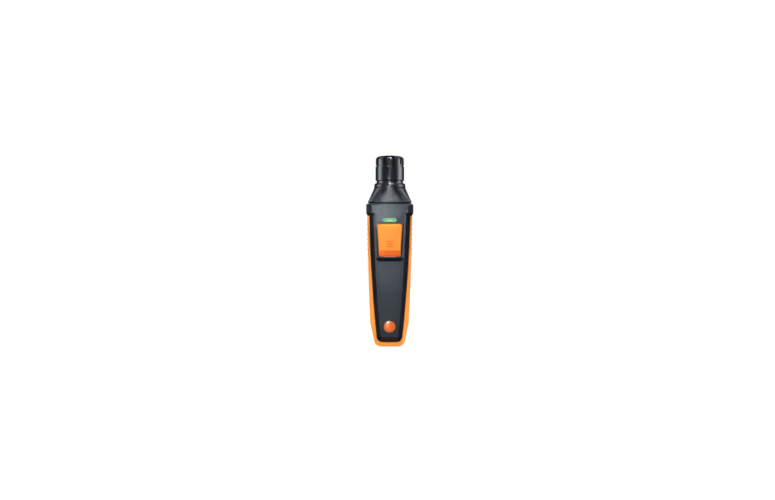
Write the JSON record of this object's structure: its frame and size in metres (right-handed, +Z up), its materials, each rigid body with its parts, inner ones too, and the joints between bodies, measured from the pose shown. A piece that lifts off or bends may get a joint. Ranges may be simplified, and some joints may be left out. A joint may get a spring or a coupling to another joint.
{
  "type": "handheld weather meter",
  "caption": "Handheld battery-powered air probe: dark and orange tapered grip with one key and a status light, and a plug-in head with a slotted round sensor cap",
  "frame": {"origin": "middle of the foot that the grip stands on, on the axis of the head", "axes": "+Z up along the grip to the sensor cap, front face with the key towards -Y, +X to the right seen from the front"},
  "size_m": [0.0492, 0.0415, 0.2],
  "materials": {
    "dark_shell": "moulded, fine satin grain",
    "orange_shell": "moulded, fine satin grain",
    "orange_door": "moulded, fine satin grain",
    "orange_key": "satin, slightly softer than the shell",
    "status_lens": "translucent green",
    "badge": "clear domed lacquer over orange",
    "circuit_board": "solder mask",
    "component": "moulded black package",
    "shield_can": "tinned sheet",
    "led": "clear package",
    "contact_gold": "gold plated",
    "flex_lead": "polyimide film",
    "inner_plastic": "moulded",
    "cell_jacket": "plain printed jacket over a metal can",
    "spring_steel": "nickel plated",
    "screw_steel": "zinc plated",
    "head_plastic": "moulded, satin",
    "seal_rubber": "matt",
    "sensor_body": "moulded",
    "screen_mesh": "black fine mesh"
  },
  "bodies": {
    "handle": {"front_shell": "dark_shell", "rear_shell": "orange_shell", "light_pipe": "status_lens", "badge": "badge", "main_board": "circuit_board", "board_parts": "component", "radio_module": "shield_can", "status_led": "led", "switch_body": "component", "board_screws": "screw_steel", "head_socket": "inner_plastic", "socket_pins": "contact_gold", "socket_lead": "flex_lead", "battery_tray": "inner_plastic", "battery_1": "cell_jacket", "battery_2": "cell_jacket", "battery_3": "cell_jacket", "battery_4": "cell_jacket", "battery_springs": "spring_steel", "battery_contacts": "spring_steel", "case_screws": "screw_steel"},
    "key": {"key_cap": "orange_key", "switch_plunger": "component"},
    "door": {"battery_door": "orange_door"},
    "head": {"head_housing": "head_plastic", "head_foot": "inner_plastic", "head_screws": "screw_steel", "head_plug": "inner_plastic", "plug_contacts": "contact_gold", "sensor_barrel": "head_plastic", "barrel_seal": "seal_rubber", "barrel_nut": "inner_plastic", "sensor_board": "circuit_board", "sensor_pins": "contact_gold", "gas_sensor": "sensor_body", "sensor_collar": "seal_rubber", "sensor_lead": "flex_lead", "dust_screen": "screen_mesh", "sensor_cap": "head_plastic"}
  },
  "joints": [
    {"name": "key_press", "type": "slide", "parent": "handle", "child": "key", "axis": [0, 1, 0], "range_m": [0, 0.0006], "stiffness_N_per_m": 1200, "springref_m": -0.0008},
    {"name": "door_hinge", "type": "hinge", "parent": "handle", "child": "door", "pos_m": [0, 0.017, 0.0136], "axis": [-1, 0, 0], "range_deg": [0, 75]},
    {"name": "head_pull", "type": "slide", "parent": "handle", "child": "head", "axis": [0, 0, 1], "range_m": [0, 0.03]}
  ]
}
